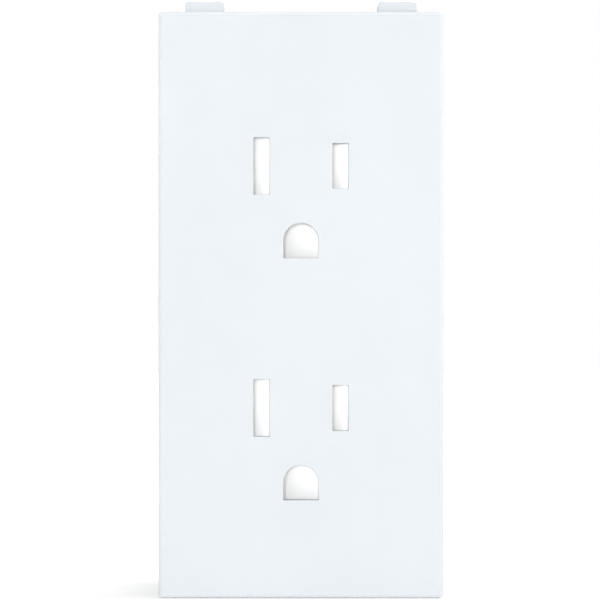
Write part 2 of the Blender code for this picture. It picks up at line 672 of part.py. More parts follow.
def shutter_tray(socket):
    """Carries a socket's shutters behind the front housing's face."""
    height = SOCKETS[socket]
    ground = height - GROUND_DROP
    tray = box((-TRAY_SIDE, TRAY_SIDE), (TRAY_FRONT, TRAY_BACK), (ground - 3.9, height + 4.8))
    wings = (height - LEDGE_DROP, height + LEDGE_RISE)
    fuse(tray, box((-TRAY_WING, TRAY_WING), (TRAY_FRONT, TRAY_BACK), wings))
    for x in ((-4.3, 4.3), (-11.2, -8.2), (8.2, 11.2)):
        fuse(tray, box(x, (TRAY_STEP, TRAY_FRONT + 0.5), (height - 4.4, height + 4.4)))
    post = box(SPRING_POST, (-3.5, TRAY_STEP + 0.5), (height - 1.0, height + 1.0))
    tall = (ground - STOP_HALF, ground + STOP_HALF)
    stop = box((GROUND_SPRING_STOP, GROUND_SPRING_STOP + STOP_THICK), (-3.5, TRAY_BACK), tall)
    foot = box((TRAY_SIDE - 1, GROUND_SPRING_STOP + STOP_THICK), (TRAY_FRONT, TRAY_BACK), tall)
    fuse(tray, post, foot, stop)
    for middle in (-BLADE_OFFSET, BLADE_OFFSET):
        wide, tall = TRAY_OPENING
        opening = rectangle((middle - wide, middle + wide), (height - tall, height + tall))
        carve(tray, prism(opening, "Y", TRAY_STEP - 1, TRAY_BACK + 1))
    pin = [(TRAY_FRONT - 1, PIN_CLEARANCE), (TRAY_BACK + 1, PIN_CLEARANCE)]
    carve(tray, turned("Y", (0, ground), pin, 20))
    return name_part(tray, f"shutter_tray_{socket}", TRAY_PLASTIC)


def blade_shutter(socket):
    """Slides sideways when both blades press its ramps, and brings its windows behind the slots."""
    height = SOCKETS[socket]
    left = -BLADE_OFFSET - PAD_SIDE - WINDOW_WIDE - 0.85
    right = BLADE_OFFSET + PAD_SIDE + 0.8
    deep = (SHUTTER_FRONT, BLADE_SHUTTER_BACK)
    shutter = box((left, right), deep, (height - SHUTTER_TALL, height + SHUTTER_TALL))
    through = (SHUTTER_FRONT - 1, BLADE_SHUTTER_BACK + 1)
    for middle in (-BLADE_OFFSET, BLADE_OFFSET):
        edge = middle - PAD_SIDE
        tall = (height - SHUTTER_TALL + 0.3, height + SHUTTER_TALL - 0.3)
        window = box((edge - WINDOW_WIDE, edge), through, tall)
        far, near, deepest = edge + RAMP_WIDE, SHUTTER_FRONT - 0.5, SHUTTER_FRONT + RAMP_DEPTH
        ramp = [(edge - 0.5, near), (far, near), (far, SHUTTER_FRONT), (edge, deepest), (edge - 0.5, deepest)]
        carve(shutter, window, prism(ramp, "Z", *tall))
    carve(shutter, box(SPRING_POCKET, through, (height - 1.3, height + 1.3)))
    return name_part(shutter, f"blade_shutter_{socket}", WHITE_SHUTTER, (0, SHUTTER_FRONT, height))


def ground_shutter(socket):
    """Slides sideways when the ground pin presses its ramp."""
    middle = SOCKETS[socket] - GROUND_DROP
    side = GROUND_SHUTTER_SIDE
    edge = (-side, GROUND_SHUTTER_BACK - GROUND_RAMP_EDGE)
    outline = [(-side, GROUND_SHUTTER_BACK), edge, (side - 0.8, SHUTTER_FRONT), (side, SHUTTER_FRONT),
               (side, GROUND_SHUTTER_BACK)]
    shutter = prism(outline, "Z", middle - GROUND_SHUTTER_TALL, middle + GROUND_SHUTTER_TALL)
    return name_part(shutter, f"ground_shutter_{socket}", WHITE_SHUTTER, (0, SHUTTER_FRONT, middle))


def coil_spring(name, start, end, centre, radius, wire, turns):
    """A compression spring along X, as a tube round a helix with a flat turn at each end."""
    y, z = centre
    steps = 12
    count = round(turns * steps)
    curve = bpy.data.curves.new(name, "CURVE")
    curve.dimensions = "3D"
    curve.bevel_depth = wire / 2 * MM
    curve.bevel_resolution = 1
    curve.use_fill_caps = True
    line = curve.splines.new("POLY")
    line.points.add(count)
    for i, point in enumerate(line.points):
        turn = i / steps
        flat = 0.8
        share = min(1.0, max(0.0, (turn - flat) / (turns - 2 * flat)))
        ends = 1.15 * wire * (min(turn, flat) / flat + max(0.0, turn - turns + flat) / flat)
        along = start + wire / 2 + ends + (end - start - wire * 3.3) * share
        angle = 2 * math.pi * turn
        place = (along, y + radius * math.cos(angle), z + radius * math.sin(angle))
        point.co = (*(c * MM for c in place), 1.0)
    spring = bpy.data.objects.new(name, curve)
    bpy.context.scene.collection.objects.link(spring)
    curve.materials.append(material(SPRING_STEEL))
    return spring


def springs(socket):
    height = SOCKETS[socket]
    y = (SHUTTER_FRONT + BLADE_SHUTTER_BACK) / 2
    start, end = SPRING_POCKET[0] + 0.1, SPRING_POST[0] - 0.1
    coil_spring(f"blade_spring_{socket}", start, end, (y, height), 0.85, 0.25, 5)
    start, end = GROUND_SHUTTER_SIDE + 0.1, GROUND_SPRING_STOP - 0.1
    coil_spring(f"ground_spring_{socket}", start, end, (-1.7, height - GROUND_DROP), 1.1, 0.3, 5.5)


def main():
    for existing in list(bpy.data.objects):
        bpy.data.objects.remove(existing)
    front_cover()
    front_housing()
    rear_housing()
    mounting_strap()
    for side in SIDES:
        contact_strip(side)
    terminals()
    for end, sign in (("top", 1), ("bottom", -1)):
        mounting_screw(end, sign)
    housing_screws()
    for socket in SOCKETS:
        ground_contact(socket)
        ground_rivet(socket)
        shutter_tray(socket)
        blade_shutter(socket)
        ground_shutter(socket)
        springs(socket)


main()
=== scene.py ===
"""The looks of a duplex wall outlet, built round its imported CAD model.

Front faces -Y, up is +Z, and the wall's surface is the plane y = 0. Sizes are in millimetres, and MM
turns them into metres. Only the stage is laid out in metres.
"""

import json
import math

import bmesh
import bpy
from mathutils import Matrix, Vector


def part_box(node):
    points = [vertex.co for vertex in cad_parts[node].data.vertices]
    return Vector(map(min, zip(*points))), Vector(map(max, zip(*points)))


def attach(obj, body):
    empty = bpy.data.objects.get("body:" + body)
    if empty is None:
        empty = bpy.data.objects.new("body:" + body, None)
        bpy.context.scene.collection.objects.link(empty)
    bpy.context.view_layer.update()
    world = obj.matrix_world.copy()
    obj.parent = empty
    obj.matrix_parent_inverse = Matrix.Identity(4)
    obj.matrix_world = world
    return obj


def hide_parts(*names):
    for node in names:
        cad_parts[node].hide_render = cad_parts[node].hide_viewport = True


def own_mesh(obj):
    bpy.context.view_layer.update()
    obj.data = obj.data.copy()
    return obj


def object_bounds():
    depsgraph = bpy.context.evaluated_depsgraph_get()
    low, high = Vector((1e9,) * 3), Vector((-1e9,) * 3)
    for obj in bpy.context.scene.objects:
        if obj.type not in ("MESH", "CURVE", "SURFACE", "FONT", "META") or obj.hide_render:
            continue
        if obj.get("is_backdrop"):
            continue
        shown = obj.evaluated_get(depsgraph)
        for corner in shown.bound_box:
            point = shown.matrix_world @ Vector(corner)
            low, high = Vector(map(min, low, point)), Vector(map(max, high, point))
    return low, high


MM = 0.001

# The two sockets, and the two sides with their directions along X.
SOCKETS = ("upper", "lower")
SIDES = {"neutral": -1, "hot": 1}

# How far a cutter reaches past the surface that it cuts, and the cosine above which two neighbouring faces
# are parts of one flat surface.
CLEAR = 1.0
SAME_PLANE = 0.99999

# The cover: how thick its rim and face are, and the gussets and round ejector marks inside it. A gusset's
# ends are its heights at its tip and at the wall, and its root is sunk into the cover.
COVER_RIM = 1.3
COVER_SKIN = 1.5
COVER_ROUNDING = 0.12
GUSSETS = 7
GUSSET_STEP = 12.0
GUSSET_HALF = 0.4
GUSSET_REACH = 1.3
GUSSET_ENDS = (0.9, 3.0)
GUSSET_ROOT = 0.3
MARK_X = 19.0
MARK_RADIUS = 1.1
MARK_DEPTH = 0.1

# The rear half: the wire holes' places and their countersinks, as (place along Y from the back, radius),
# the release slots beside them, and the strip gauge.
REAR_ROUNDING = 0.14
WIRE_HOLE_X = 13.15
WIRE_OFFSET = 3.1
COUNTERSINK = ((-0.8, 0.95), (0.2, 2.05))
RELEASE_X = (9.1, 10.3)
RELEASE_HALF = 1.4
RELEASE_DEPTH = 1.1
GAUGE_X = (11.9, 14.5)
GAUGE_Z = (-7.5, 3.5)
GAUGE_DEPTH = 0.35

# The strap: its steel, the pressed bead along its back, and the score lines of its break-off ears.
STRAP_STEEL = 1.3
STRAP_ROUNDING = 0.13
BEAD_X = (-2.4, 2.4)
BEAD_Z = (-21.0, 3.6)
BEAD_DEPTH = 0.5
BEAD_FLARE = 0.9
SCORE_X = (13.6, 14.1)
SCORE_Z = ((30.0, 45.0), (-46.0, -35.0))
SCORE_DEPTH = 0.3

# Screws, whose thread is a list of (place as a share of the pitch, depth as a share of the whole depth),
# and the rivets' dimples, as (depth, radius).
THREAD_PITCH = 0.79375  # 32 to the inch
THREAD_DEPTH = 0.3
THREAD_OUTLINE = ((0.0, 1), (0.16, 1), (0.5, 0), (0.62, 0))
TIP_LENGTH = 0.9
SCREW_SIDES = 36
RIVET_DIMPLE = ((0.25, 0.7), (0.35, 0.2))

# Springs: the coil's radius to the middle of its wire, the wire's thickness, the turns, and how far the
# shutter slides. The turns at each end are closed, and the wire's middle starts a share of its thickness in.
SPRINGS = {
    "blade": {"radius": 0.82, "wire": 0.25, "turns": 6, "travel": 3.0},
    "ground": {"radius": 1.08, "wire": 0.3, "turns": 7, "travel": 6.2},
}
FLAT_TURNS = 0.9
END_SHARE = 0.4
TURN_STEPS = 28
WIRE_SIDES = 12

# The pieces that only have their edges rounded, and how much.
ROUNDED = {
    "front_housing": 0.15,
    "hot_contact_strip": 0.07,
    "neutral_contact_strip": 0.07,
    "ground_clamp": 0.12,
    **{f"{side}_clamp_{socket}": 0.12 for side in SIDES for socket in SOCKETS},
    **{f"ground_contact_{socket}": 0.07 for socket in SOCKETS},
    **{f"shutter_tray_{socket}": 0.1 for socket in SOCKETS},
    **{f"{kind}_shutter_{socket}": 0.08 for kind in SPRINGS for socket in SOCKETS},
    **{f"screw_retainer_{end}": 0.06 for end in ("top", "bottom")},
}

# The camera: a long lens square to the cover, which fills the frame's height.
LENS = 180.0
SENSOR = 36.0
VIEW_WIDTH = 96.39 * MM
VIEW_CENTRE = (-0.16 * MM, 0.79 * MM)

# Each lamp's place and size in metres, and its watts.
LAMPS = {
    "front": ((0.0, -1.2, 0.0), (0.3, 0.3), 15.5),
    "right": ((0.75, -0.05, 0.5), (0.2, 0.6), 5.2),
    "left": ((-0.75, 0.02, 0.45), (0.3, 0.6), 3.0),
    "above": ((0.05, -0.03, 0.9), (0.4, 0.2), 4.0),
    "behind": ((0.25, 0.95, 0.3), (0.5, 0.5), 3.0),
}

# How bright the surroundings are, from low directions to high ones.
SKY = {"From Min": -0.6, "From Max": 0.8, "To Min": 0.06, "To Max": 0.2}

# The floor, in metres: its glow rises between two distances from the middle.
FLOOR_RADIUS = 1.5
FLOOR_GAP = 0.1 * MM
FLOOR_GLOW = {"low": 0.33, "high": 1.0, "start": 0.12, "end": 0.7}

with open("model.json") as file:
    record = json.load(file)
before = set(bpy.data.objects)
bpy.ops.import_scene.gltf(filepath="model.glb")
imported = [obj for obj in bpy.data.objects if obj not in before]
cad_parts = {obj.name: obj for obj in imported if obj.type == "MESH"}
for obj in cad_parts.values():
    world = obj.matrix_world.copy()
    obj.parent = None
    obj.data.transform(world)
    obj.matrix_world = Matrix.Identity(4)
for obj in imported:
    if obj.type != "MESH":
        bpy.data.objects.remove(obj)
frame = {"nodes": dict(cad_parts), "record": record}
CAD = frame["nodes"]
BODY = {node: body for body, nodes in frame["record"]["behaviour"]["bodies"].items() for node in nodes}
SLOT = {part["node"]: part["material_slot"] for part in frame["record"]["subparts"]}
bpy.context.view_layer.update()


# Materials


class Finish:
    """One material's nodes, with its patterns laid out in metres on the object."""

    def __init__(self, name):
        self.material = bpy.data.materials.new(name)
        self.material.use_nodes = True
        self.tree = self.material.node_tree
        self.shader = self.tree.nodes["Principled BSDF"]
        self.place = self.tree.nodes.new("ShaderNodeTexCoord").outputs["Object"]

    def fill(self, socket, value):
        """Joins an input to another node's output, or gives it a value."""
        if isinstance(value, bpy.types.NodeSocket):
            self.tree.links.new(value, socket)
        else:
            socket.default_value = value

    def add(self, kind, output=0, settings=None, **inputs):
        """Adds a node and returns one of its outputs. An input goes by its name, or by its number after _."""
        node = self.tree.nodes.new(kind)
        for key, value in (settings or {}).items():
            setattr(node, key, value)
        for key, value in inputs.items():
            self.fill(node.inputs[int(key[1:])] if key[0] == "_" else node.inputs[key], value)
        return node.outputs[output]

    def noise(self, size, detail=3.0, stretch=(1, 1, 1)):
        """Noise with features of about this size, drawn out along an axis by its stretch."""
        scale = Vector([1 / (size * MM * s) for s in stretch])
        place = self.add("ShaderNodeMapping", Vector=self.place, Scale=scale)
        return self.add("ShaderNodeTexNoise", Vector=place, Scale=1.0, Detail=detail)

    def between(self, factor, low, high, start=0.3, end=0.7):
        """Spreads a part of a pattern's range, by default its middle, over a range of values."""
        names = {"From Min": start, "From Max": end, "To Min": low, "To Max": high}
        return self.add("ShaderNodeMapRange", Value=factor, **names)

    def blend(self, factor, first, second):
        """Mixes two colours by a pattern."""
        colours = {"_6": rgba(first), "_7": rgba(second)}
        return self.add("ShaderNodeMix", 2, {"data_type": "RGBA"}, Factor=factor, **colours)

    def bump(self, height, depth, **inputs):
        """A bump of this depth, on top of another bump where Normal gives one."""
        return self.add("ShaderNodeBump", Height=height, Distance=depth * MM, **inputs)

    def set(self, **inputs):
        """Joins or fills the shader's own inputs, and returns the material."""
        for key, value in inputs.items():
            self.fill(self.shader.inputs[key.replace("_", " ")], value)
        return self.material


def rgba(colour):
    """A colour with its alpha. A pattern's output stays as it is."""
    return colour if isinstance(colour, bpy.types.NodeSocket) else (*colour, 1.0)


def shaded(colour, share):
    """A colour made darker or lighter."""
    return tuple(channel * share for channel in colour)


def moulded(name, colour, roughness, grain=0.25, grain_depth=0.004, tint=0.02, gloss=0.5):
    """Moulded plastic: fine mould grain, slight sink and flow marks, and a faint change of tone."""
    finish = Finish(name)
    flow = finish.noise(14.0, detail=2.0, stretch=(1, 1, 2.5))
    fine = finish.noise(grain, detail=2.0)
    dark, light = shaded(colour, 1 - tint), shaded(colour, 1 + tint / 2)
    tone = finish.blend(finish.between(flow, 0.0, 1.0), dark, light)
    speck = finish.between(finish.noise(0.5, detail=4.0), 1.0, 0.0, start=0.66, end=0.72)
    tone = finish.blend(speck, shaded(colour, 1 - 2.5 * tint), tone)
    sink = finish.bump(flow, 0.05)
    return finish.set(
        Base_Color=tone,
        Roughness=finish.between(finish.noise(3.0, detail=4.0), roughness - 0.04, roughness + 0.05),
        Normal=finish.bump(fine, grain_depth, Normal=sink),
        Specular_IOR_Level=gloss,
    )


def plated(name, colour, roughness, drawn=12, mottling=0.12, metallic=1.0):
    """Plated metal: a grain that may be drawn out along Z, with a faint mottled tone."""
    finish = Finish(name)
    cloud = finish.noise(3.5, detail=5.0)
    dark, light = shaded(colour, 1 - mottling), shaded(colour, 1 + mottling / 3)
    tone = finish.blend(finish.between(cloud, 0.0, 1.0), dark, light)
    grain = finish.noise(0.12, stretch=(1, 1, drawn))
    dull = finish.between(cloud, roughness - 0.05, roughness + 0.1)
    return finish.set(
        Base_Color=tone,
        Metallic=metallic,
        Roughness=dull,
        Normal=finish.bump(grain, 0.004),
    )


def tarnished(name, colour, stain, roughness):
    """Bare copper alloy: a drawn grain with faint patches of tarnish and fingermarks."""
    finish = Finish(name)
    patch = finish.between(finish.noise(4.0, detail=6.0), 0.0, 1.0, start=0.48, end=0.75)
    tone = finish.blend(patch, colour, stain)
    grain = finish.noise(0.1, stretch=(1, 1, 14))
    return finish.set(
        Base_Color=tone,
        Metallic=1.0,
        Roughness=finish.between(patch, roughness, roughness + 0.16, start=0.0, end=1.0),
        Normal=finish.bump(grain, 0.003),
    )


def fibre(name, colour):
    """Pressed fibre board, with short dull strands."""
    finish = Finish(name)
    strand = finish.noise(0.2, detail=5.0, stretch=(6, 1, 1))
    cross = finish.noise(0.2, detail=5.0, stretch=(1, 1, 6))
    tone = finish.blend(finish.between(strand, 0.0, 1.0), shaded(colour, 0.72), shaded(colour, 1.25))
    return finish.set(
        Base_Color=finish.blend(finish.between(cross, 0.0, 0.5), tone, shaded(colour, 0.85)),
        Roughness=0.85,
        Normal=finish.bump(strand, 0.02),
    )


MATERIALS = {
    "cover_plastic": moulded(
        "cover_plastic_moulded", (0.546, 0.577, 0.604), roughness=0.58, gloss=0.35,
    ),
    "housing_plastic": moulded(
        "housing_plastic_moulded", (0.70, 0.71, 0.71), roughness=0.48, grain=0.35, grain_depth=0.008,
    ),
    "rear_plastic": moulded(
        "rear_plastic_moulded", (0.42, 0.45, 0.48), roughness=0.52, grain=0.35, grain_depth=0.012, tint=0.06,
    ),
    "shutter_plastic": moulded(
        "shutter_plastic_moulded", (0.95, 0.95, 0.95),
        roughness=0.34, grain=0.2, grain_depth=0.003, tint=0.01,
    ),
    "tray_plastic": moulded(
        "tray_plastic_moulded", (0.84, 0.83, 0.79), roughness=0.5, grain=0.35, grain_depth=0.008,
    ),
    "zinc_plated_steel": plated(
        "zinc_plated_steel_bright", (0.47, 0.49, 0.52), roughness=0.34, mottling=0.2,
    ),
    "brass": tarnished(
        "brass_bare", (0.66, 0.46, 0.17), stain=(0.44, 0.27, 0.10), roughness=0.24,
    ),
    "nickel_plated_brass": plated(
        "nickel_plate_bright", (0.66, 0.64, 0.60), roughness=0.2, drawn=8, mottling=0.06,
    ),
    "green_screw": plated(
        "green_dyed_plate", (0.03, 0.27, 0.10), roughness=0.3, drawn=1, mottling=0.25, metallic=0.85,
    ),
    "spring_steel": plated(
        "spring_wire_drawn", (0.55, 0.56, 0.58), roughness=0.26, drawn=1, mottling=0.05,
    ),
    "retainer_fibre": fibre("retainer_fibre_pressed", (0.30, 0.085, 0.055)),
}


# Pieces


def publish(name, mesh, node):
    """Makes a piece from a bmesh in metres. It stands for a CAD node, and rides on that node's body."""
    data = bpy.data.meshes.new(name)
    mesh.to_mesh(data)
    mesh.free()
    data.materials.append(MATERIALS[SLOT[node]])
    piece = bpy.data.objects.new(name, data)
    bpy.context.scene.collection.objects.link(piece)
    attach(piece, BODY[node])
    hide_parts(node)
    return piece


def refined(node):
    """A CAD node as a piece ready for finer work, with its corners joined and each flat face in one."""
    weld, bend = 0.0005 * MM, math.radians(0.4)
    mesh = bmesh.new()
    mesh.from_mesh(CAD[node].data)
    bmesh.ops.remove_doubles(mesh, verts=mesh.verts, dist=weld)
    bmesh.ops.dissolve_limit(mesh, angle_limit=bend, verts=mesh.verts, edges=mesh.edges)
    return publish(f"{node}_finished", mesh, node)


def centre(node):
    """The middle of a node's box."""
    low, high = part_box(node)
    return (low + high) / 2 / MM


def arc_steps(start, end, steps):
    """Angles in radians, from one angle in degrees to another."""
    return [math.radians(start + (end - start) * i / steps) for i in range(steps + 1)]


def circle(radius, sides):
    """Points round a circle, as (across, up)."""
    turn = [2 * math.pi * i / sides for i in range(sides)]
    return [(radius * math.cos(a), radius * math.sin(a)) for a in turn]


def bridge(mesh, rings):
    """Joins each ring of corners to the next with faces."""
    for first, second in zip(rings, rings[1:]):
        for i in range(len(first)):
            mesh.faces.new((first[i - 1], first[i], second[i], second[i - 1]))


def loft(rings):
    """A bmesh through rings of points, closed at both ends."""
    mesh = bmesh.new()
    made = [[mesh.verts.new(point) for point in ring] for ring in rings]
    bridge(mesh, made)
    mesh.faces.new(made[0])
    mesh.faces.new(made[-1][::-1])
    return mesh


def turned(x, z, profile, sides):
    """A bmesh of a round solid along Y, from a list of (place along Y, radius)."""
    return loft([[(x + across, y, z + up) for across, up in circle(radius, sides)] for y, radius in profile])


# Tools, which are closed solids that cut a piece or join it


def tool(mesh):
    """A tool from a bmesh in millimetres."""
    bmesh.ops.recalc_face_normals(mesh, faces=mesh.faces)
    bmesh.ops.scale(mesh, vec=(MM, MM, MM), verts=mesh.verts)
    data = bpy.data.meshes.new("tool")
    mesh.to_mesh(data)
    mesh.free()
    made = bpy.data.objects.new("tool", data)
    bpy.context.scene.collection.objects.link(made)
    return made


def block(x, y, z):
    """A box between two bounds on each axis."""
    ring = [(x[0], z[0]), (x[1], z[0]), (x[1], z[1]), (x[0], z[1])]
    return tool(loft([[(a, side, b) for a, b in ring] for side in sorted(y)]))


def capsule(x, y, z, flare=0.0):
    """A bar along Z with round ends, between two bounds on each axis. It may flare as y grows."""
    radius = (x[1] - x[0]) / 2
    middle = (x[0] + x[1]) / 2
    rings = []
    for place in y:
        wide = radius + flare * (place - y[0])
        ends = ((1, z[1] - radius), (-1, z[0] + radius))
        rings.append([
            (middle + side * wide * math.cos(a), place, end + side * wide * math.sin(a))
            for side, end in ends for a in arc_steps(0, 180, 11)
        ])
    return tool(loft(rings))


def cone(x, z, profile, sides=29):
    """A round tool along Y, from a list of (place along Y, radius)."""
    return tool(turned(x, z, profile, sides))


def shape(piece, tools, operation="DIFFERENCE"):
    """Cuts tools out of a piece or joins them to it, after any modifiers it has, and removes the tools."""
    for each in tools:
        step = piece.modifiers.new("step", "BOOLEAN")
        step.operation = operation
        step.object = each
    graph = bpy.context.evaluated_depsgraph_get()
    data = bpy.data.meshes.new_from_object(piece.evaluated_get(graph))
    piece.modifiers.clear()
    piece.data = data
    for each in tools:
        bpy.data.objects.remove(each)
    return piece


# Edges and shading


def flat_areas(mesh):
    """For each face of a bmesh, the area of the flat surface that it is part of."""
    areas = {}
    for start in mesh.faces:
        if start in areas:
            continue
        surface, waiting = {start}, [start]
        while waiting:
            face = waiting.pop()
            for other in {other for edge in face.edges for other in edge.link_faces} - surface:
                if other.normal.dot(face.normal) > SAME_PLANE:
                    surface.add(other)
                    waiting.append(other)
        areas.update(dict.fromkeys(surface, sum(face.calc_area() for face in surface)))
    return areas


def level(piece, limit=75.0):
    """Shades a piece smoothly across its rounded edges, and keeps its flat surfaces flat.

    A corner takes the normals of the faces round it that turn less than the limit from its own face,
    each weighted by the area of the flat surface that it belongs to.
    """
    mesh = bmesh.new()
    mesh.from_mesh(piece.data)
    areas = flat_areas(mesh)
    least = math.cos(math.radians(limit))
    normals = []
    for face in mesh.faces:
        for corner in face.loops:
            near = [other for other in corner.vert.link_faces if other.normal.dot(face.normal) > least]
            total = sum((other.normal * areas[other] for other in near), Vector())
            normals.append(total.normalized() if total.length > 0 else face.normal.copy())
    mesh.free()
    piece.data.shade_smooth()
    piece.data.normals_split_custom_set(normals)
    return piece


def soften(piece, width, marks=(), segments=3, angle=40.0):
    """Rounds a piece's sharp edges, then cuts marks too shallow to be rounded."""
    mesh = bmesh.new()
    mesh.from_mesh(piece.data)
    bmesh.ops.triangulate(mesh, faces=[face for face in mesh.faces if len(face.verts) > 4])
    mesh.to_mesh(piece.data)
    mesh.free()
    bevel = piece.modifiers.new("edges", "BEVEL")
    bevel.width = width * MM
    bevel.segments = segments
    bevel.limit_method = "ANGLE"
    bevel.angle_limit = math.radians(angle)
    bevel.miter_outer = "MITER_SHARP"
    bevel.use_clamp_overlap = False
    return level(shape(piece, marks))


def crisp(piece, angle=32.0):
    """Smooth shading that breaks at sharp edges."""
    piece.data.shade_smooth()
    piece.data.set_sharp_from_angle(angle=math.radians(angle))
    return piece


# The cover, the rear half and the strap


def cover():
    """The cover, with gussets along its inner walls and round ejector marks inside its face."""
    low, high = (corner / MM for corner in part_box("front_cover"))
    wall, face = high.x - COVER_RIM, low.y + COVER_SKIN
    tip, root = wall - GUSSET_REACH, wall + GUSSET_ROOT
    foot, (short, tall) = face - GUSSET_ROOT, GUSSET_ENDS
    gussets, marks = [], []
    for side in (-1, 1):
        outline = [
            (side * tip, foot), (side * tip, face + short),
            (side * root, face + tall), (side * root, foot),
        ]
        for i in range(GUSSETS):
            height = (i - (GUSSETS - 1) / 2) * GUSSET_STEP
            faces = (height - GUSSET_HALF, height + GUSSET_HALF)
            gussets.append(tool(loft([[(x, y, z) for x, y in outline] for z in faces])))
        for i in range(GUSSETS - 1):
            height = (i - (GUSSETS - 2) / 2) * GUSSET_STEP
            profile = [(face - MARK_DEPTH, MARK_RADIUS), (face + CLEAR, MARK_RADIUS)]
            marks.append(cone(side * MARK_X, height, profile))
    soften(shape(refined("front_cover"), gussets, "UNION"), COVER_ROUNDING, marks)


def rear_body():
    """The grey rear half, with its wire holes countersunk, release slots and a strip gauge."""
    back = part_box("rear_housing")[1].y / MM
    sink = [(back + place, radius) for place, radius in COUNTERSINK]
    tools = [capsule(GAUGE_X, (back - GAUGE_DEPTH, back + CLEAR), GAUGE_Z)]
    for side in SIDES.values():
        edges = sorted(side * x for x in RELEASE_X)
        for socket in SOCKETS:
            terminal = centre(f"hot_screw_{socket}").z
            for step in (-WIRE_OFFSET, WIRE_OFFSET):
                z = terminal + step
                tools.append(cone(side * WIRE_HOLE_X, z, sink))
                ends = (z - RELEASE_HALF, z + RELEASE_HALF)
                tools.append(capsule(edges, (back - RELEASE_DEPTH, back + CLEAR), ends))
    soften(shape(refined("rear_housing"), tools), REAR_ROUNDING)


def strap():
    """The strap, with score lines for its break-off ears and a pressed bead along its back."""
    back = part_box("mounting_strap")[1].y / MM
    tools = [capsule(BEAD_X, (back - BEAD_DEPTH, back + BEAD_DEPTH), BEAD_Z, BEAD_FLARE)]
    for side in (-1, 1):
        edges = sorted(side * x for x in SCORE_X)
        for ends in SCORE_Z:
            tools.append(block(edges, (-STRAP_STEEL - CLEAR, -STRAP_STEEL + SCORE_DEPTH), ends))
    soften(shape(refined("mounting_strap"), tools), STRAP_ROUNDING)


# Screws, rivets and springs


def thread_grid(mesh, radius, tip, length):
    """A screw's shank from its tip at z = 0, as a sheet of corners that climbs with the thread."""
    rows = []
    for turn in range(math.ceil(length / THREAD_PITCH) + 3):
        for offset, share in THREAD_OUTLINE:
            row = []
            for i in range(SCREW_SIDES):
                place = (turn - 1 + offset + i / SCREW_SIDES) * THREAD_PITCH
                fade = min(1.0, max(0.0, (length - place) / THREAD_PITCH))
                point = tip + (radius - tip) * max(place, 0.0) / TIP_LENGTH
                wide = min(radius - share * THREAD_DEPTH * fade, point)
                if place <= 0:
                    place, wide = 0.0, tip
                if place >= length:
                    place, wide = length, radius
                angle = 2 * math.pi * i / SCREW_SIDES
                row.append(mesh.verts.new((wide * math.cos(angle), wide * math.sin(angle), place)))
            rows.append(row)
    climb = len(THREAD_OUTLINE)
    for r in range(len(rows) - climb - 1):
        for i in range(SCREW_SIDES):
            ahead, shift = ((i + 1) % SCREW_SIDES, climb if i + 1 == SCREW_SIDES else 0)
            mesh.faces.new((rows[r][i], rows[r + shift][ahead], rows[r + 1 + shift][ahead], rows[r + 1][i]))


def head_rings(mesh, shank, outline, start):
    """A head above z = start, from a list of (height, radius), closed at its top."""
    rings = [
        [mesh.verts.new((across, up, start + height)) for across, up in circle(radius, SCREW_SIDES)]
        for height, radius in [(0.0, shank), *outline]
    ]
    bridge(mesh, rings)
    mesh.faces.new(rings[-1])


def cross_tool(reach, wide, depth):
    """A cross-shaped punch with its face at z = 0. It narrows to its deep end, where its arms meet."""
    levels = ((1.25, -0.25), (1.0, 0.0), (0.5, 0.75), (0.12, 1.0))  # share of the reach, share of the depth
    rings = []
    for share, drop in levels:
        half = wide / 2 * max(share, 0.5)
        end = max(reach * share, half * 1.02)
        ring = []
        for turn in range(4):
            c, s = round(math.cos(turn * math.pi / 2)), round(math.sin(turn * math.pi / 2))
            arm = ((end, -half), (end, half), (half, half))
            ring += [(x * c - y * s, x * s + y * c, -drop * depth) for x, y in arm]
        rings.append(ring)
    return loft(rings)


def slot_tool(reach, wide, depth):
    """A straight slot right across a head, with its face at z = 0."""
    ring = [(-reach, -wide / 2), (reach, -wide / 2), (reach, wide / 2), (-reach, wide / 2)]
    return loft([[(x, y, z) for x, y in ring] for z in (-depth, CLEAR)])


# Each kind of screw: its shank's and tip's radius, its head's height, the head's outline as (height, share
# of its radius), and the punches for its drive as (maker, share of the head's radius, width, depth).
SCREWS = {
    "terminal": {
        "shank": 2.0,
        "tip": 1.45,
        "head": 2.6,
        "outline": [
            (0.0, 0.96), (0.15, 1.0), (1.5, 1.0), (2.0, 0.96), (2.35, 0.86), (2.54, 0.72), (2.6, 0.55),
        ],
        "punches": [(slot_tool, 1.2, 0.95, 0.8), (cross_tool, 0.56, 1.0, 1.5)],
    },
    "mounting": {
        "shank": 1.7,
        "tip": 1.15,
        "head": 2.2,
        "outline": [
            (0.0, 0.96), (0.12, 1.0), (0.9, 1.0), (1.35, 0.95), (1.75, 0.83), (2.05, 0.66), (2.2, 0.45),
        ],
        "punches": [(slot_tool, 1.2, 1.0, 1.0)],
    },
    "housing": {
        "shank": 1.45,
        "tip": 0.75,
        "head": 1.6,
        "outline": [(0.0, 0.96), (0.1, 1.0), (0.85, 1.0), (1.2, 0.95), (1.48, 0.82), (1.6, 0.64)],
        "punches": [(cross_tool, 0.62, 0.7, 1.1)],
    },
}


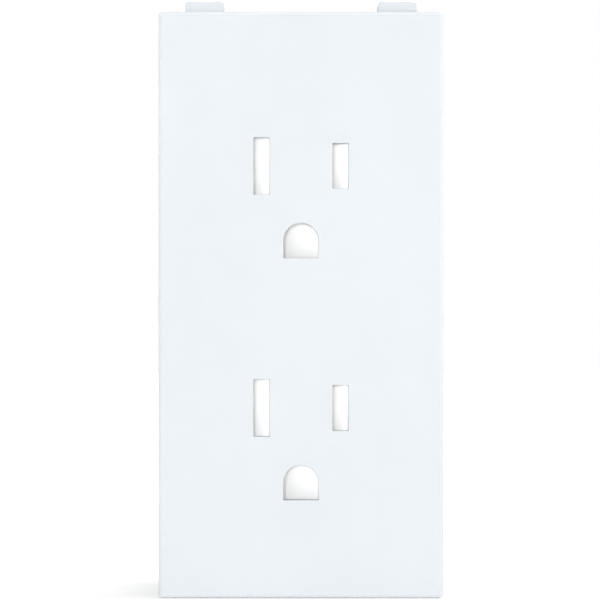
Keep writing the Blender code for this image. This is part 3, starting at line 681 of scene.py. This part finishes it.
def screw(node, along, sign, kind):
    """A threaded screw that fills a CAD screw. Its head is at the end of its axis that the sign gives."""
    made, weld = SCREWS[kind], 1e-5
    low, high = (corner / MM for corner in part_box(node))
    index = "XYZ".index(along)
    length = high[index] - low[index] - made["head"]
    radius = (high.z - low.z) / 2
    mesh = bmesh.new()
    thread_grid(mesh, made["shank"], made["tip"], length)
    head_rings(mesh, made["shank"], [(h, radius * share) for h, share in made["outline"]], length)
    bmesh.ops.remove_doubles(mesh, verts=mesh.verts, dist=weld)
    bmesh.ops.holes_fill(mesh, edges=mesh.edges, sides=0)
    bmesh.ops.recalc_face_normals(mesh, faces=mesh.faces)
    out = Vector([sign if i == index else 0 for i in range(3)])
    tip = (low + high) / 2
    tip[index] = low[index] if sign > 0 else high[index]
    turn = Vector((0, 0, 1)).rotation_difference(out).to_matrix().to_4x4()
    place = Matrix.Translation(tip) @ turn
    mesh.transform(Matrix.Scale(MM, 4) @ place)
    piece = publish(f"{node}_threaded", mesh, node)
    tools = []
    for maker, reach, wide, depth in made["punches"]:
        punch = maker(radius * reach, wide, depth)
        punch.transform(place @ Matrix.Translation((0, 0, length + made["head"])))
        tools.append(tool(punch))
    crisp(shape(piece, tools))


def rivet(socket):
    """A solid rivet with a domed head inside, and a rolled end with a dimple outside."""
    shank, sides = 1.45, 40
    dome, wide, fullness = 0.8, 2.3, 0.6
    foot, flange = 1.0, 2.5
    roll, inner, reach = 0.9, 1.1, 1.5
    node = f"ground_rivet_{socket}"
    middle = centre(node)
    low, high = (corner.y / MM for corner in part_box(node))
    profile = [
        *[(low + dome - dome * math.sin(a), wide * math.cos(a) ** fullness) for a in arc_steps(80, 0, 9)],
        (low + dome, shank),
        (high - foot, shank),
        (high - foot, flange),
        *[(high - roll + roll * math.sin(a), inner + reach * math.cos(a)) for a in arc_steps(0, 90, 8)],
        *[(high - depth, radius) for depth, radius in RIVET_DIMPLE],
    ]
    mesh = turned(middle.x, middle.z, profile, sides)
    bmesh.ops.recalc_face_normals(mesh, faces=mesh.faces)
    mesh.transform(Matrix.Scale(MM, 4))
    crisp(publish(f"{node}_turned", mesh, node))


def spring(kind, socket, radius, wire, turns, travel):
    """A coil spring with closed, flat ground ends."""
    node = f"{kind}_spring_{socket}"
    low, high = (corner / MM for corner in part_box(node))
    middle = (low + high) / 2
    length = high.x - low.x
    open_length = length - wire * (2 * END_SHARE + 2 * FLAT_TURNS)
    rings = []
    for i in range(round(turns * TURN_STEPS) + 1):
        turn = i / TURN_STEPS
        share = min(1.0, max(0.0, (turn - FLAT_TURNS) / (turns - 2 * FLAT_TURNS)))
        closed = wire * (min(turn, FLAT_TURNS) + max(0.0, turn - turns + FLAT_TURNS))
        along = low.x + END_SHARE * wire + closed + open_length * share
        angle = 2 * math.pi * turn
        out = Vector((0, math.cos(angle), math.sin(angle)))
        ring = []
        for outward, sideways in circle(wire / 2, WIRE_SIDES):
            point = Vector((along, middle.y, middle.z)) + out * (radius + outward)
            point.x = min(high.x, max(low.x, point.x + sideways))
            ring.append(point * MM)
        rings.append(ring)
    mesh = loft(rings)
    bmesh.ops.recalc_face_normals(mesh, faces=mesh.faces)
    piece = crisp(publish(f"{node}_wound", mesh, node), 50.0)
    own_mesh(piece)


# Stage


def camera():
    """The camera, square to the cover's face."""
    data = bpy.data.cameras.new("camera")
    data.lens = LENS
    data.sensor_width = SENSOR
    made = bpy.data.objects.new("camera", data)
    bpy.context.scene.collection.objects.link(made)
    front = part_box("front_cover")[0].y
    made.location = (VIEW_CENTRE[0], front - VIEW_WIDTH * LENS / SENSOR, VIEW_CENTRE[1])
    made.rotation_euler = (math.radians(90), 0, 0)
    bpy.context.scene.camera = made


def softbox(name, place, size, watts):
    """A soft rectangular lamp that faces the object."""
    data = bpy.data.lights.new(name, "AREA")
    data.shape = "RECTANGLE"
    data.size, data.size_y = size
    data.energy = watts
    lamp = bpy.data.objects.new(name, data)
    bpy.context.scene.collection.objects.link(lamp)
    lamp.location = place
    lamp.rotation_euler = Vector(place).to_track_quat("Z", "Y").to_euler()


def surroundings():
    """A white backdrop all round, and a dimmer grey one that lights the object, brighter overhead."""
    world = bpy.data.worlds.new("studio")
    bpy.context.scene.world = world
    world.use_nodes = True
    tree = world.node_tree
    light = tree.nodes["Background"]
    place = tree.nodes.new("ShaderNodeTexCoord")
    height = tree.nodes.new("ShaderNodeSeparateXYZ")
    ramp = tree.nodes.new("ShaderNodeMapRange")
    tree.links.new(place.outputs["Generated"], height.inputs[0])
    tree.links.new(height.outputs["Z"], ramp.inputs["Value"])
    for key, value in SKY.items():
        ramp.inputs[key].default_value = value
    tree.links.new(ramp.outputs[0], light.inputs["Strength"])
    light.inputs["Color"].default_value = (1, 1, 1, 1)
    white = tree.nodes.new("ShaderNodeBackground")
    white.inputs["Color"].default_value = (1, 1, 1, 1)
    path = tree.nodes.new("ShaderNodeLightPath")
    mix = tree.nodes.new("ShaderNodeMixShader")
    tree.links.new(path.outputs["Is Camera Ray"], mix.inputs[0])
    tree.links.new(light.outputs[0], mix.inputs[1])
    tree.links.new(white.outputs[0], mix.inputs[2])
    tree.links.new(mix.outputs[0], tree.nodes["World Output"].inputs["Surface"])


def floor():
    """A pale floor just under the cover. It turns white with distance, and is clear from underneath."""
    mesh = bmesh.new()
    bmesh.ops.create_circle(mesh, cap_ends=True, segments=96, radius=FLOOR_RADIUS)
    data = bpy.data.meshes.new("floor")
    mesh.to_mesh(data)
    mesh.free()
    made = bpy.data.objects.new("floor", data)
    bpy.context.scene.collection.objects.link(made)
    made.location.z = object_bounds()[0].z - FLOOR_GAP
    finish = Finish("floor_white")
    distance = finish.add("ShaderNodeVectorMath", 1, {"operation": "LENGTH"}, _0=finish.place)
    finish.set(
        Base_Color=(0.7, 0.7, 0.7, 1),
        Roughness=0.9,
        Specular_IOR_Level=0.2,
        Emission_Color=(1, 1, 1, 1),
        Emission_Strength=finish.between(distance, **FLOOR_GLOW),
    )
    underneath = finish.add("ShaderNodeNewGeometry", "Backfacing")
    clear = finish.add("ShaderNodeBsdfTransparent")
    seen = finish.add("ShaderNodeMixShader", _0=underneath, _1=finish.shader.outputs[0], _2=clear)
    finish.tree.links.new(seen, finish.tree.nodes["Material Output"].inputs["Surface"])
    data.materials.append(finish.material)
    made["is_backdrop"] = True


def stage():
    """The camera, the surroundings, the floor and the lamps."""
    camera()
    surroundings()
    floor()
    for name, (place, size, watts) in LAMPS.items():
        softbox(name, place, size, watts)
    bpy.context.scene.view_settings.view_transform = "Standard"


def main():
    """Makes every piece, then the stage."""
    cover()
    rear_body()
    strap()
    for node, width in ROUNDED.items():
        soften(refined(node), width)
    for side, sign in SIDES.items():
        for socket in SOCKETS:
            screw(f"{side}_screw_{socket}", "X", sign, "terminal")
    screw("ground_screw", "X", -1, "terminal")
    for end in ("top", "bottom"):
        screw(f"mounting_screw_{end}", "Y", -1, "mounting")
    for number in range(1, 5):
        screw(f"housing_screw_{number}", "Y", 1, "housing")
    for socket in SOCKETS:
        rivet(socket)
        for kind, sizes in SPRINGS.items():
            spring(kind, socket, **sizes)
    stage()


main()
